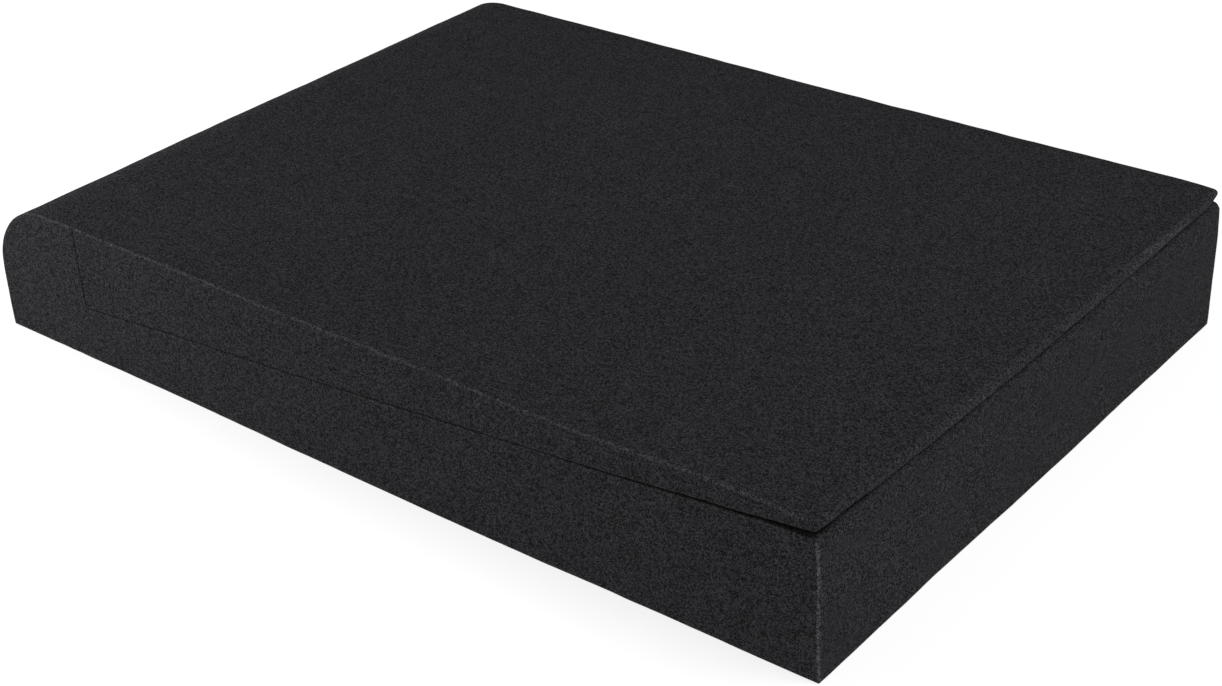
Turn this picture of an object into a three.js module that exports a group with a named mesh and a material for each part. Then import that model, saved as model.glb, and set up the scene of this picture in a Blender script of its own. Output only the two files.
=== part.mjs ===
// Speaker isolation pad in two pieces of soft foam: an L-shaped base with a raised lip, and a
// wedge that lies on the base's sloping seat and fills it up level with the lip.
// Millimetres, +Z up. X runs along the length from the lip to the thin end, Y across the width,
// and the origin is the middle of the footprint, on the surface that the pad stands on.
import * as THREE from 'three';

// Overall block that both pieces together fill
const padLength = 300;
const padWidth = 206;
const padHeight = 44.5;

// Raised lip at one end of the base, with its rounded outer shoulder
const lipThickness = 39.5;
const lipShoulderRadius = 26;

// Loose wedge, from its thick end at the lip to its thin end
const wedgeThickEnd = 26.7;
const wedgeThinEnd = 3.2;
const wedgeTipRadius = 1.5;

// Clearance between the two pieces, under the wedge and at the lip
const seatClearance = 0.3;

// Softened edges of the cut foam: along the ends and the top, and round both upright sides
const baseEdgeRadius = 1.5;
const wedgeEdgeRadius = 1.2;
const sideEdgeTightness = 0.7;

// Places that follow from the sizes above
const lipEndX = -padLength / 2;
const thinEndX = padLength / 2;
const lipFaceX = lipEndX + lipThickness;
const wedgeThickEndX = lipFaceX + seatClearance;
const seatSlope = (wedgeThickEnd - wedgeThinEnd) / (thinEndX - wedgeThickEndX);
const seatRise = seatClearance * Math.hypot(1, seatSlope);

// Height of the wedge's underside, and of the seat below it, at a place along the length
const undersideHeight = (x) => padHeight - wedgeThinEnd - (thinEndX - x) * seatSlope;
const seatHeight = (x) => undersideHeight(x) - seatRise;

// Facets round a quarter turn of the shoulder, and round a softened edge
const shoulderFacets = 14;
const edgeFacets = 3;

// Most that two roundings take of the straight edge between them, which they share by radius
const mostEdgeShare = 0.96;
const edgeRoom = (length, radius, otherRadius) =>
  mostEdgeShare * length * radius / (radius + otherRadius);

// A closed side outline whose corners are rounded, each by its own radius.
// Every corner is [x, z, radius, facets], in order round the outline.
function roundedOutline(corners) {
  const points = [];
  corners.forEach(([x, z, radius, facets], index) => {
    const corner = new THREE.Vector2(x, z);
    const [beforeX, beforeZ, beforeRadius] = corners.at(index - 1);
    const [afterX, afterZ, afterRadius] = corners[(index + 1) % corners.length];
    const back = new THREE.Vector2(beforeX, beforeZ).sub(corner);
    const ahead = new THREE.Vector2(afterX, afterZ).sub(corner);
    if (radius === 0) {
      points.push(corner);
      return;
    }
    const halfAngle = Math.abs(back.angleTo(ahead)) / 2;
    const reach = Math.min(
      radius / Math.tan(halfAngle),
      edgeRoom(back.length(), radius, beforeRadius),
      edgeRoom(ahead.length(), radius, afterRadius));
    const round = reach * Math.tan(halfAngle);
    const start = corner.clone().addScaledVector(back.normalize(), reach);
    const end = corner.clone().addScaledVector(ahead.normalize(), reach);
    const inward = back.add(ahead).normalize();
    const centre = corner.clone().addScaledVector(inward, Math.hypot(reach, round));
    const first = start.clone().sub(centre).angle();
    const turn = THREE.MathUtils.euclideanModulo(
      end.clone().sub(centre).angle() - first + Math.PI, 2 * Math.PI) - Math.PI;
    for (let facet = 0; facet <= facets; facet += 1) {
      const angle = first + turn * facet / facets;
      points.push(centre.clone().add(new THREE.Vector2(Math.cos(angle), Math.sin(angle))
        .multiplyScalar(round)));
    }
  });
  return new THREE.Shape(points);
}

// A side outline carried across the pad's width, with the edges of both sides softened
function acrossWidth(outline, edgeRadius) {
  const sideRadius = sideEdgeTightness * edgeRadius;
  const geometry = new THREE.ExtrudeGeometry(outline, {
    depth: padWidth - 2 * sideRadius,
    steps: 1,
    bevelEnabled: true,
    bevelThickness: sideRadius,
    bevelSize: sideRadius,
    bevelOffset: -sideRadius,
    bevelSegments: edgeFacets,
  });
  geometry.translate(0, 0, sideRadius - padWidth / 2);
  geometry.rotateX(Math.PI / 2);
  return geometry;
}

// Base block: flat underside, upright ends, lip with a rounded shoulder, and the sloping seat
function foamBase() {
  const outline = roundedOutline([
    [lipEndX, 0, baseEdgeRadius, edgeFacets],
    [thinEndX, 0, baseEdgeRadius, edgeFacets],
    [thinEndX, seatHeight(thinEndX), baseEdgeRadius, edgeFacets],
    [lipFaceX, seatHeight(lipFaceX), 0, 0],
    [lipFaceX, padHeight, baseEdgeRadius, edgeFacets],
    [lipEndX, padHeight, lipShoulderRadius, shoulderFacets],
  ]);
  const foam = new THREE.MeshStandardMaterial({ color: 0x28282a, roughness: 1, metalness: 0 });
  const mesh = new THREE.Mesh(acrossWidth(outline, baseEdgeRadius), foam);
  mesh.name = 'foam_base';
  return mesh;
}

// Loose wedge: its underside follows the seat and its top is level with the lip's top
function wedgeInsert() {
  const outline = roundedOutline([
    [wedgeThickEndX, undersideHeight(wedgeThickEndX), wedgeEdgeRadius, edgeFacets],
    [thinEndX, undersideHeight(thinEndX), wedgeTipRadius, edgeFacets],
    [thinEndX, padHeight, wedgeTipRadius, edgeFacets],
    [wedgeThickEndX, padHeight, wedgeEdgeRadius, edgeFacets],
  ]);
  const foam = new THREE.MeshStandardMaterial({ color: 0x272729, roughness: 1, metalness: 0 });
  const mesh = new THREE.Mesh(acrossWidth(outline, wedgeEdgeRadius), foam);
  mesh.name = 'wedge_insert';
  return mesh;
}

const isolationPad = new THREE.Group();
isolationPad.add(foamBase());
isolationPad.add(wedgeInsert());

export default isolationPad;
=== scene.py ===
import math

import bpy
import numpy as np
from mathutils import Matrix, Vector, noise
from mathutils.geometry import delaunay_2d_cdt
from mathutils.kdtree import KDTree


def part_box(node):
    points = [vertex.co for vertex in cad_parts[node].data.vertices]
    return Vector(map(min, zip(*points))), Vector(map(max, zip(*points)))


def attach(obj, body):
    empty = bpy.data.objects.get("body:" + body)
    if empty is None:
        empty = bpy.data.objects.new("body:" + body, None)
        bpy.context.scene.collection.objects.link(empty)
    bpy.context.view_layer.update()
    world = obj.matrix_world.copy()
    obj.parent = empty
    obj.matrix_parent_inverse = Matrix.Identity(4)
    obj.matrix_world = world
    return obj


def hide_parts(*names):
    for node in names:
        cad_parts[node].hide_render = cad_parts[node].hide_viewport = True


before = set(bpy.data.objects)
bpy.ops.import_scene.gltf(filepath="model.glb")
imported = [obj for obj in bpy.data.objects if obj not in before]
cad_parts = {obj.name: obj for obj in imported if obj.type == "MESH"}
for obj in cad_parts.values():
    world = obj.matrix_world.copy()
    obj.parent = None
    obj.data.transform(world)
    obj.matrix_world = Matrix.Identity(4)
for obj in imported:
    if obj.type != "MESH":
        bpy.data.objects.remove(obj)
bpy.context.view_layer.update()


# Foam base
# One block of charcoal open-cell foam, sawn to an L-shaped side outline: a raised lip with a big
# round shoulder, and a seat that climbs to the thin end. It lies loose on the desk.
base_low, base_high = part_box("foam_base")
half_width = (base_high.y - base_low.y) / 2
lip_end = base_low.x
thin_end = base_high.x
pad_top = base_high.z

lip_thickness = 0.0395
lip_shoulder = 0.026
wedge_thick_end = 0.0267
wedge_thin_end = 0.0032
seam_gap = 0.0002
lip_gap = 0.0001
lip_face = lip_end + lip_thickness
wedge_start = lip_face + lip_gap
seat_slope = (wedge_thick_end - wedge_thin_end) / (thin_end - wedge_start)

foot_edge = 0.0006
end_edge = 0.0020
seam_edge = 0.0002
seat_crease = 0.0005
side_edge = 0.0004
side_edge_steps = 4
corner_share = 0.8
corner_growth = 0.4
arc_step = 0.0004
outline_step = 0.0013
width_step = 0.002
side_rings = (0.0006, 0.0013, 0.0023)
side_grid = 0.0018
ring_spacing = 0.95

flat_foot = 0.003
bow_depth = 0.0009
bow_middle = 0.035
bow_reach = 0.085
end_swell = 0.0005
end_swell_reach = 0.05
skin_waves = ((0.060, 0.0003, 3.1), (0.012, 0.00014, 7.7), (0.0045, 0.00006, 1.3))
end_reach = 0.015
end_sag = 0.0010
sag_middle = -0.003
sag_reach = 0.055
seat_give = 0.00015
end_lean = 0.0004
lean_start = 0.030
lean_reach = 0.010
corner_press = 0.0009
corner_reach = 0.010
noise.seed_set(2)


def underside_height(x):
    return pad_top - wedge_thin_end - (thin_end - x) * seat_slope


def seat_height(x):
    return underside_height(x) - seam_gap


def point_tree(points):
    """A search tree of points in the side view."""
    tree = KDTree(len(points))
    for index, (x, z) in enumerate(points):
        tree.insert((x, z, 0), index)
    tree.balance()
    return tree


def side_outline(corners):
    """Points round a closed side outline with round corners, closer together in the corners.
    A corner is (x, z, radius, paleness of its edge across the pad, paleness of the side edge that
    follows it). Gives for each point its place, its distance from the nearest pale corner, that
    corner's paleness, its side edge's paleness, and how round its side edge may be."""
    places, pale, side_pale = [], [], []
    count = len(corners)
    for index, (x, z, radius, paleness, after_paleness) in enumerate(corners):
        here = Vector((x, z))
        back = (Vector(corners[index - 1][:2]) - here).normalized()
        ahead = (Vector(corners[(index + 1) % count][:2]) - here).normalized()
        half = back.angle(ahead) / 2
        start = here + back * (radius / math.tan(half))
        centre = here + (back + ahead).normalized() * (radius / math.sin(half))
        turn = (math.pi - 2 * half) * (1 if back.cross(ahead) < 0 else -1)
        steps = max(4, round(radius * abs(turn) / arc_step))
        for step in range(steps + 1):
            spoke = (start - centre).copy()
            spoke.rotate(Matrix.Rotation(turn * step / steps, 2))
            places.append(centre + spoke)
            pale.append(paleness)
            side_pale.append(after_paleness if step > steps / 2 else corners[index - 1][4])
    points, side_paleness = [], []
    for index, place in enumerate(places):
        after = places[(index + 1) % len(places)]
        pieces = max(1, round((after - place).length / outline_step))
        points += [place.lerp(after, piece / pieces) for piece in range(pieces)]
        side_paleness += [side_pale[index]] * pieces
    edges = [(place, paleness) for place, paleness in zip(places, pale) if paleness > 0]
    nearest = point_tree([place for place, paleness in edges])
    found = [nearest.find((point.x, point.y, 0)) for point in points]
    away = np.array([distance for place, index, distance in found])
    corner_paleness = np.array([edges[index][1] for place, index, distance in found])
    outline = np.array([tuple(point) for point in points])
    rounding = np.full(len(outline), side_edge)
    for x, z, radius, *paleness in corners:
        beyond = np.hypot(outline[:, 0] - x, outline[:, 1] - z) - radius
        rounding = np.minimum(rounding, corner_share * radius + corner_growth * np.maximum(0, beyond))
    return outline, away, corner_paleness, np.array(side_paleness), rounding


def inward(outline):
    """Unit vectors at the outline's points, across it and into the foam."""
    along = np.roll(outline, -1, axis=0) - np.roll(outline, 1, axis=0)
    along /= np.linalg.norm(along, axis=1)[:, None]
    return np.stack([-along[:, 1], along[:, 0]], axis=1)


def side_face(ring, into):
    """Fills one side of a block. Gives the points inside its ring, each one's distance from the
    ring and the nearest ring point, and the triangles over the ring's points and these."""
    nearest = point_tree(ring)
    low, high = ring.min(axis=0), ring.max(axis=0)
    columns, rows = np.meshgrid(
        np.arange(low[0], high[0], side_grid), np.arange(low[1], high[1], side_grid))
    tries = [(ring + into * inset, ring_spacing * inset) for inset in side_rings]
    tries.append((np.stack([columns.ravel(), rows.ravel()], axis=1), side_rings[-1] + side_grid / 2))
    points, distances, owners = [], [], []
    for places, least in tries:
        for place in places:
            found, index, distance = nearest.find((*place, 0))
            if distance > least and (place - ring[index]) @ into[index] > 0:
                points.append(place)
                distances.append(distance)
                owners.append(index)
    loop = [(index, (index + 1) % len(ring)) for index in range(len(ring))]
    filled = delaunay_2d_cdt([Vector(point) for point in [*ring, *points]], loop, [], 1, 1e-8)
    source = [sources[0] for sources in filled[3]]
    triangles = [[source[corner] for corner in face] for face in filled[2]]
    return np.array(points), np.array(distances), np.array(owners), triangles


def foam_block(name, corners, shape):
    """A closed block of foam: a side outline carried across the width, with softened side edges.
    shape moves the points of the block to where the soft foam lies."""
    outline, away, corner_paleness, side_paleness, rounding = side_outline(corners)
    into = inward(outline)
    count = len(outline)
    middle = half_width - side_rings[-1]
    rows = [(y, 0.0) for y in np.linspace(-middle, middle, round(2 * middle / width_step) + 1)]
    for from_side in (*side_rings[-2::-1], side_edge):
        rows = [(from_side - half_width, 0.0)] + rows + [(half_width - from_side, 0.0)]
    for step in range(1, side_edge_steps + 1):
        angle = math.pi / 2 * step / side_edge_steps
        y = half_width - side_edge + side_edge * math.sin(angle)
        inset = 1 - math.cos(angle)
        rows = [(-y, inset)] + rows + [(y, inset)]
    points, distance, paleness = [], [], []
    for y, inset in rows:
        from_side = half_width - abs(y)
        points.append(np.insert(outline + into * (inset * rounding)[:, None], 1, y, axis=1))
        distance.append(np.minimum(away, from_side))
        paleness.append(np.where(away > from_side, side_paleness, corner_paleness))
    faces = []
    for first in range(0, count * (len(rows) - 1), count):
        for index in range(count):
            after = (index + 1) % count
            faces.append((first + index, first + count + index, first + count + after, first + after))
    inside, from_ring, owners, triangles = side_face(outline + into * rounding[:, None], into)
    last_row = count * (len(rows) - 1)
    for y, first_ring, turned in ((-half_width, 0, False), (half_width, last_row, True)):
        first_inside = sum(len(part) for part in points) - count
        points.append(np.insert(inside, 1, y, axis=1))
        distance.append(from_ring)
        paleness.append(side_paleness[owners])
        for triangle in triangles:
            corners = [corner + (first_ring if corner < count else first_inside) for corner in triangle]
            faces.append(corners[::-1] if turned else corners)
    mesh = bpy.data.meshes.new(name)
    mesh.from_pydata(shape(np.concatenate(points)).tolist(), [], faces)
    mesh.shade_smooth()
    # edge_paleness sets how much of the pale edge colour each point gets: frayed struts and a painted
    # highlight.
    for title, values in (("edge_distance", distance), ("edge_paleness", paleness)):
        stored = mesh.attributes.new(title, "FLOAT", "POINT")
        stored.data.foreach_set("value", np.concatenate(values).astype(np.float32))
    block = bpy.data.objects.new(name, mesh)
    bpy.context.scene.collection.objects.link(block)
    return block


def settle(points):
    """Moves points as the soft foam gives, the same for both pieces, so that they stay apart: the
    pad bows a little to the near side, its thin end swells, and smooth noise roughens its skin.
    A wave of the skin is (size, height, seed). The underside stays flat."""
    step = np.zeros(points.shape)
    step[:, 1] -= bow_depth * np.exp(-((points[:, 0] - bow_middle) / bow_reach) ** 2)
    step[:, 0] += end_swell * np.clip(1 - (thin_end - points[:, 0]) / end_swell_reach, 0, 1)
    for size, height, seed in skin_waves:
        step += [height * noise.noise_vector(place) for place in (points / size + seed).tolist()]
    step[:, 2] *= np.clip(points[:, 2] / flat_foot, 0, 1)
    return points + step


def sag(x, y):
    """How far the seat, and the wedge on it, sink at the thin end in the middle of the width."""
    at_end = np.clip(1 - (thin_end - x) / end_reach, 0, 1)
    return end_sag * at_end * np.exp(-((y - sag_middle) / sag_reach) ** 4)


def base_shape(points):
    """The seat gives way at the thin end, most in its corners, and the end face leans back below it."""
    x, y, z = points.T
    at_end = np.clip(1 - (thin_end - x) / end_reach, 0, 1)
    at_side = np.clip(1 - (half_width - abs(y)) / corner_reach, 0, 1)
    upper = np.clip((z - lean_start) / lean_reach, 0, 1)
    press = corner_press * (at_end * at_side) ** 2 + seat_give * at_end + sag(x, y)
    points[:, 2] -= press * upper
    points[:, 0] -= end_lean * at_end * upper
    return settle(points)


def node(tree, kind, **settings):
    made = tree.nodes.new(kind)
    for name, value in settings.items():
        setattr(made, name, value)
    return made


def math_node(tree, operation, *values):
    made = node(tree, "ShaderNodeMath", operation=operation)
    for socket, value in zip(made.inputs, values):
        if isinstance(value, (int, float)):
            socket.default_value = value
        else:
            tree.links.new(value, socket)
    return made.outputs[0]


def ramp_node(tree, value, low, high, to_low=0.0, to_high=1.0):
    made = node(tree, "ShaderNodeMapRange", interpolation_type="SMOOTHSTEP")
    made.inputs["From Min"].default_value = low
    made.inputs["From Max"].default_value = high
    made.inputs["To Min"].default_value = to_low
    made.inputs["To Max"].default_value = to_high
    tree.links.new(value, made.inputs["Value"])
    return made.outputs["Result"]


cells_per_metre = 2800.0
cell_depth = 0.0002
cell_bump = 0.25
fine_cells = 2.1
cloud_scale = 0.05
# The pale band along the cut edges is partly frayed struts and partly a painted highlight where the edges
# catch the light.
fray_and_highlight_per_metre = 1100.0
fray_and_highlight_depth = 0.0005
fray_and_highlight_width = 0.0006
fray_and_highlight_colour = (0.058, 0.058, 0.062)
matte_specular = 0.01

# The colour sockets of a mix node, which share their names with its other sockets
first_colour, second_colour, mixed_colour = 6, 7, 2


def cell_group():
    """Open foam cells cut through by a saw: dark pits, light struts round them, cloudy patches."""
    tree = bpy.data.node_groups.new("open_cells", "ShaderNodeTree")
    face = tree.interface
    face.new_socket("Place", in_out="INPUT", socket_type="NodeSocketVector")
    face.new_socket("Cells per Metre", in_out="INPUT", socket_type="NodeSocketFloat")
    face.new_socket("Shade", in_out="OUTPUT", socket_type="NodeSocketFloat")
    face.new_socket("Height", in_out="OUTPUT", socket_type="NodeSocketFloat")
    inner = node(tree, "NodeGroupInput")
    outer = node(tree, "NodeGroupOutput")
    scaled = node(tree, "ShaderNodeVectorMath", operation="SCALE")
    tree.links.new(inner.outputs["Place"], scaled.inputs["Vector"])
    tree.links.new(inner.outputs["Cells per Metre"], scaled.inputs["Scale"])
    cells = node(tree, "ShaderNodeTexVoronoi", feature="F1")
    cells.inputs["Scale"].default_value = 1.0
    tree.links.new(scaled.outputs["Vector"], cells.inputs["Vector"])
    fine = node(tree, "ShaderNodeTexVoronoi", feature="F1")
    fine.inputs["Scale"].default_value = fine_cells
    tree.links.new(scaled.outputs["Vector"], fine.inputs["Vector"])
    clouds = node(tree, "ShaderNodeTexNoise")
    clouds.inputs["Scale"].default_value = cloud_scale
    clouds.inputs["Detail"].default_value = 3.0
    tree.links.new(scaled.outputs["Vector"], clouds.inputs["Vector"])
    chance = node(tree, "ShaderNodeSeparateColor")
    tree.links.new(cells.outputs["Color"], chance.inputs["Color"])
    struts = ramp_node(tree, cells.outputs["Distance"], 0.15, 0.75)
    fine_struts = ramp_node(tree, fine.outputs["Distance"], 0.1, 0.8)
    height = math_node(tree, "ADD", math_node(tree, "MULTIPLY", struts, 0.7),
                       math_node(tree, "MULTIPLY", fine_struts, 0.3))
    tree.links.new(height, outer.inputs["Height"])
    deep = ramp_node(tree, chance.outputs["Red"], 0.0, 1.0, 0.35, 1.65)
    cloudy = ramp_node(tree, clouds.outputs["Fac"], 0.3, 0.7, 0.97, 1.03)
    shade = math_node(tree, "MULTIPLY", math_node(tree, "MULTIPLY_ADD", height, 1.2, 0.2), deep)
    tree.links.new(math_node(tree, "MULTIPLY", shade, cloudy), outer.inputs["Shade"])
    return tree


def foam_material(name, colour):
    """Charcoal foam that is matte all over, with paler cut edges: frayed struts, and a painted highlight
    where the edges catch the light.
    """
    material = bpy.data.materials.new(name)
    material.use_nodes = True
    tree = material.node_tree
    shader = tree.nodes["Principled BSDF"]
    shader.inputs["Specular IOR Level"].default_value = matte_specular
    place = node(tree, "ShaderNodeTexCoord")
    cells = node(tree, "ShaderNodeGroup", node_tree=open_cells)
    cells.inputs["Cells per Metre"].default_value = cells_per_metre
    tree.links.new(place.outputs["Object"], cells.inputs["Place"])
    # Painted highlight with frayed struts: the edges are mixed towards the pale edge colour by each
    # point's edge paleness.
    distance = node(tree, "ShaderNodeAttribute", attribute_name="edge_distance")
    paleness = node(tree, "ShaderNodeAttribute", attribute_name="edge_paleness")
    ragged_edge_noise = node(tree, "ShaderNodeTexNoise")
    ragged_edge_noise.inputs["Scale"].default_value = fray_and_highlight_per_metre
    ragged_edge_noise.inputs["Detail"].default_value = 2.0
    tree.links.new(place.outputs["Object"], ragged_edge_noise.inputs["Vector"])
    uneven = math_node(tree, "MULTIPLY",
                       math_node(tree, "SUBTRACT", ragged_edge_noise.outputs["Fac"], 0.5), fray_and_highlight_depth)
    fray_and_highlight_distance = math_node(tree, "ADD", distance.outputs["Fac"], uneven)
    edge = ramp_node(tree, fray_and_highlight_distance, 0.0, fray_and_highlight_width, 1.0, 0.0)
    tint = node(tree, "ShaderNodeMix", data_type="RGBA")
    tree.links.new(math_node(tree, "MULTIPLY", edge, paleness.outputs["Fac"]), tint.inputs["Factor"])
    tint.inputs[first_colour].default_value = (*colour, 1.0)
    tint.inputs[second_colour].default_value = (*fray_and_highlight_colour, 1.0)
    shaded = node(tree, "ShaderNodeVectorMath", operation="SCALE")
    tree.links.new(tint.outputs[mixed_colour], shaded.inputs["Vector"])
    tree.links.new(cells.outputs["Shade"], shaded.inputs["Scale"])
    tree.links.new(shaded.outputs["Vector"], shader.inputs["Base Color"])
    roughness = ramp_node(tree, cells.outputs["Height"], 0.0, 1.0, 1.0, 0.82)
    tree.links.new(roughness, shader.inputs["Roughness"])
    bump = node(tree, "ShaderNodeBump")
    bump.inputs["Strength"].default_value = cell_bump
    bump.inputs["Distance"].default_value = cell_depth
    tree.links.new(cells.outputs["Height"], bump.inputs["Height"])
    tree.links.new(bump.outputs["Normal"], shader.inputs["Normal"])
    return material


open_cells = cell_group()
# The last two numbers of each corner are the paleness of its edges: how much painted edge highlight, with
# frayed struts, they get.
foam_base = foam_block("base_block", [
    (lip_end, 0.0, foot_edge, 0.2, 0.2),
    (thin_end, 0.0, foot_edge, 0.2, 1.0),
    (thin_end, seat_height(thin_end), end_edge, 0.0, 0.12),
    (lip_face, seat_height(lip_face), seat_crease, 0.0, 0.0),
    (lip_face, pad_top, seam_edge, 0.0, 0.36),
    (lip_end, pad_top, lip_shoulder, 0.0, 0.3),
], base_shape)
foam_base.data.materials.append(foam_material("base_foam", (0.0215, 0.0215, 0.0233)))
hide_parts("foam_base")
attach(foam_base, "root")


# Wedge insert
# The loose wedge of the same foam that fills up the seat. It is sawn thin at one end, so its tip
# droops to the base's end and both tip corners curl up a little from the seat.
tip_round = 0.0014
tip_paleness = 0.1
tip_droop = 0.00065
curl_reach = 0.085
near_curl = 0.0008
near_curl_width = 0.045
near_hollow = 0.0010
hollow_middle = 0.012
hollow_reach = 0.010
far_curl = 0.0006
far_curl_start = 0.160
far_curl_reach = 0.020
top_swell = 0.0009
swell_from_tip = 0.034
swell_reach = 0.022
near_drawn_in = 0.0008
near_drawn_width = 0.010
far_drawn_in = 0.0014
far_drawn_width = 0.014
# A stretch of the tip's top edge painted paler, with more of the pale edge colour that is partly painted
# highlight.
tip_stretch_paleness = 0.34
tip_stretch_middle = 0.065
tip_stretch_reach = 0.020
tip_stretch_length = 0.003
tip_stretch_height = 0.0017


def wedge_shape(points):
    """The near tip corner lifts off the seat with a hollow below it, the top swells before it, the
    tip droops, and both tip corners are drawn in a little."""
    x, y, z = points.T
    across = y + half_width
    at_end = np.clip(1 - (thin_end - x) / end_reach, 0, 1)
    run = np.clip(1 - (thin_end - x) / curl_reach, 0, 1)
    lift = near_curl * run ** 1.5 * np.clip(1 - across / near_curl_width, 0, 1) ** 2
    hollow = near_hollow * at_end * np.exp(-((across - hollow_middle) / hollow_reach) ** 2)
    far_lift = far_curl * at_end * np.clip((across - far_curl_start) / far_curl_reach, 0, 1)
    depth = (z - underside_height(x)) / (pad_top - underside_height(x))
    nearness = 0.5 - y / (2 * half_width)
    swell = top_swell * nearness * np.exp(-((thin_end - x - swell_from_tip) / swell_reach) ** 2)
    top_shift = swell - tip_droop * at_end ** 2
    underside_shift = hollow + far_lift - sag(x, y)
    points[:, 2] += lift + depth * top_shift + (1 - depth) * underside_shift
    drawn_in = near_drawn_in * np.clip(1 - across / near_drawn_width, 0, 1) ** 2
    drawn_in += far_drawn_in * np.clip(1 - (2 * half_width - across) / far_drawn_width, 0, 1) ** 2
    points[:, 0] -= drawn_in * at_end
    return settle(points)


def pale_tip_stretch(mesh):
    """A short stretch of the tip's top edge, towards the far side, is painted paler, with more of the
    pale edge colour.
    """
    count = len(mesh.vertices)
    places = np.empty(3 * count, np.float32)
    mesh.vertices.foreach_get("co", places)
    x, y, z = places.reshape(-1, 3).T
    on_tip_top = (x > thin_end - tip_stretch_length) & (z > pad_top - tip_stretch_height)
    tip_stretch = on_tip_top * tip_stretch_paleness * np.exp(-((y - tip_stretch_middle) / tip_stretch_reach) ** 4)
    stored = mesh.attributes["edge_paleness"].data
    paleness = np.empty(count, np.float32)
    stored.foreach_get("value", paleness)
    stored.foreach_set("value", np.maximum(paleness, tip_stretch).astype(np.float32))


# The last two numbers of each corner are the paleness of its edges: how much painted edge highlight, with
# frayed struts, they get.
wedge_insert = foam_block("wedge_block", [
    (wedge_start, underside_height(wedge_start), seam_edge, 0.0, 0.0),
    (thin_end, underside_height(thin_end), tip_round, tip_paleness, 0.2),
    (thin_end, pad_top, tip_round, tip_paleness, 0.4),
    (wedge_start, pad_top, seam_edge, 0.0, 0.0),
], wedge_shape)
pale_tip_stretch(wedge_insert.data)
wedge_insert.data.materials.append(foam_material("wedge_foam", (0.0213, 0.0213, 0.0231)))
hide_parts("wedge_insert")
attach(wedge_insert, "root")


# Floor
# A plain white sheet that the pad lies on, lit a little from below, as on a product table.
# It shows as white, and keeps a soft shadow.
floor_reach = 6.0
table_grey = 0.3
table_glow = 1.0
seen_grey = 0.28
seen_glow = 0.78
floor_mesh = bpy.data.meshes.new("studio_floor")
floor_mesh.from_pydata(
    [(-floor_reach, -floor_reach, 0), (floor_reach, -floor_reach, 0),
     (floor_reach, floor_reach, 0), (-floor_reach, floor_reach, 0)], [], [(0, 1, 2, 3)])
floor = bpy.data.objects.new("studio_floor", floor_mesh)
bpy.context.scene.collection.objects.link(floor)
floor_paper = bpy.data.materials.new("studio_paper")
floor_paper.use_nodes = True
paper = floor_paper.node_tree
paper.nodes.clear()
lit = node(paper, "ShaderNodeBsdfDiffuse")
lit.inputs["Color"].default_value = (table_grey, table_grey, table_grey, 1.0)
under_glow = node(paper, "ShaderNodeEmission")
under_glow.inputs["Strength"].default_value = table_glow
table = node(paper, "ShaderNodeAddShader")
paper.links.new(lit.outputs[0], table.inputs[0])
paper.links.new(under_glow.outputs[0], table.inputs[1])
seen = node(paper, "ShaderNodeBsdfDiffuse")
seen.inputs["Color"].default_value = (seen_grey, seen_grey, seen_grey, 1.0)
glow = node(paper, "ShaderNodeEmission")
glow.inputs["Strength"].default_value = seen_glow
both = node(paper, "ShaderNodeAddShader")
paper.links.new(seen.outputs[0], both.inputs[0])
paper.links.new(glow.outputs[0], both.inputs[1])
rays = node(paper, "ShaderNodeLightPath")
direct = math_node(paper, "MAXIMUM", rays.outputs["Is Camera Ray"], rays.outputs["Is Glossy Ray"])
choose = node(paper, "ShaderNodeMixShader")
paper.links.new(direct, choose.inputs["Fac"])
paper.links.new(table.outputs[0], choose.inputs[1])
paper.links.new(both.outputs[0], choose.inputs[2])
paper.links.new(choose.outputs[0], node(paper, "ShaderNodeOutputMaterial").inputs["Surface"])
floor_mesh.materials.append(floor_paper)


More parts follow.
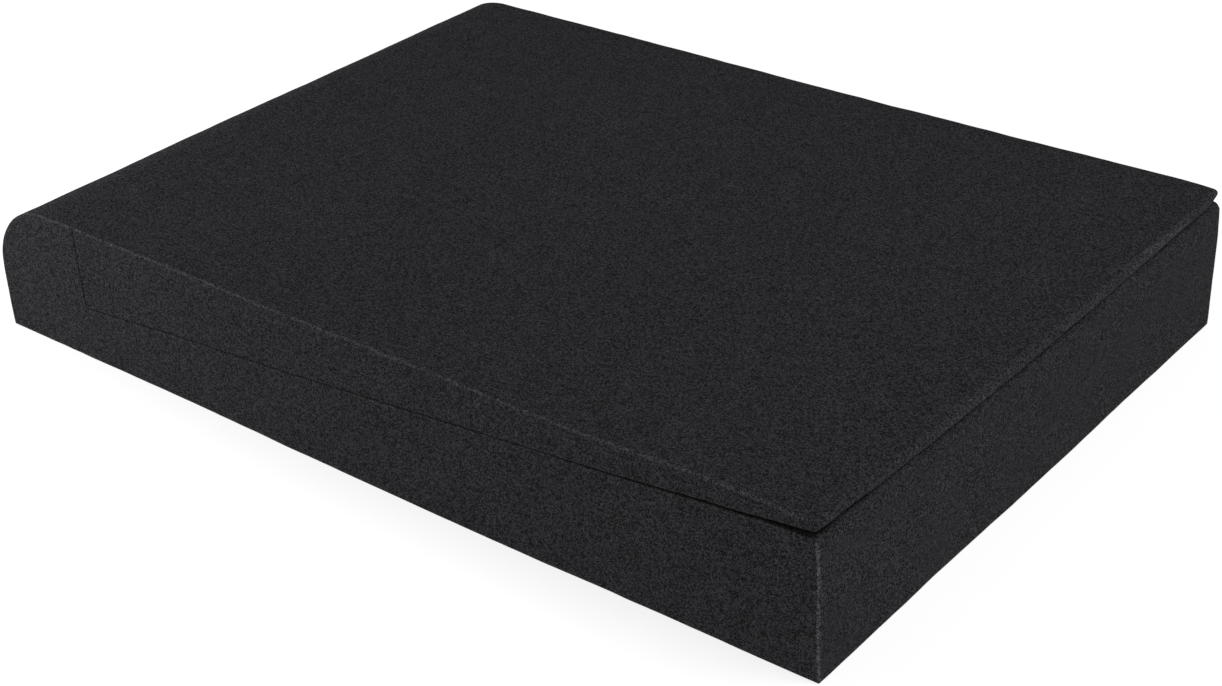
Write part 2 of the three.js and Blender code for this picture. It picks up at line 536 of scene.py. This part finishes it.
# Light
# An even white surround, with one soft lamp low by the lip and one high beyond the thin end.
lamp_aim = Vector((0, 0, 0.02))
surround_level = 0.4
world = bpy.data.worlds.new("studio_light")
bpy.context.scene.world = world
world.use_nodes = True
sky = world.node_tree
surround = sky.nodes["Background"]
surround.inputs["Color"].default_value = (1.0, 1.0, 1.0, 1.0)
sky_rays = node(sky, "ShaderNodeLightPath")
sky_seen = math_node(sky, "MAXIMUM", sky_rays.outputs["Is Camera Ray"], sky_rays.outputs["Is Glossy Ray"])
strength = node(sky, "ShaderNodeMapRange")
strength.inputs["To Min"].default_value = surround_level
strength.inputs["To Max"].default_value = 1.0
sky.links.new(sky_seen, strength.inputs["Value"])
sky.links.new(strength.outputs["Result"], surround.inputs["Strength"])


def soft_lamp(name, turn, rise, far, size, power):
    """A round lamp that faces the pad: turn counts from the near side towards the thin end."""
    lamp_data = bpy.data.lights.new(name, "AREA")
    lamp_data.shape = "DISK"
    lamp_data.size = size
    lamp_data.energy = power
    lamp = bpy.data.objects.new(name, lamp_data)
    level = far * math.cos(rise)
    lamp.location = lamp_aim + Vector(
        (level * math.sin(turn), -level * math.cos(turn), far * math.sin(rise)))
    lamp.rotation_euler = (lamp_aim - lamp.location).to_track_quat("-Z", "Y").to_euler()
    bpy.context.scene.collection.objects.link(lamp)


soft_lamp("lip_side_lamp", math.radians(300), math.radians(15), 0.5, 0.2, 1.75)
soft_lamp("thin_end_lamp", math.radians(100), math.radians(55), 1.1, 0.5, 6.46)


# Camera
# It looks down over the thin end's near corner, from where the photograph was taken.
camera_place = (0.36233, -0.42309, 0.3126)
picture_width = 1222
focal_pixels = 2098.5
camera_azimuth = math.radians(40.144)
camera_elevation = math.radians(29.851)
camera_roll = math.radians(-2.75)
camera_data = bpy.data.cameras.new("view_camera")
camera_data.sensor_fit = "HORIZONTAL"
camera_data.sensor_width = 36.0
camera_data.lens = camera_data.sensor_width * focal_pixels / picture_width
camera = bpy.data.objects.new("view_camera", camera_data)
camera_turn = (Matrix.Rotation(camera_azimuth, 4, "Z")
               @ Matrix.Rotation(math.pi / 2 - camera_elevation, 4, "X")
               @ Matrix.Rotation(camera_roll, 4, "Z"))
camera.matrix_world = Matrix.Translation(camera_place) @ camera_turn
bpy.context.scene.collection.objects.link(camera)
bpy.context.scene.camera = camera
bpy.context.scene.view_settings.view_transform = "Standard"
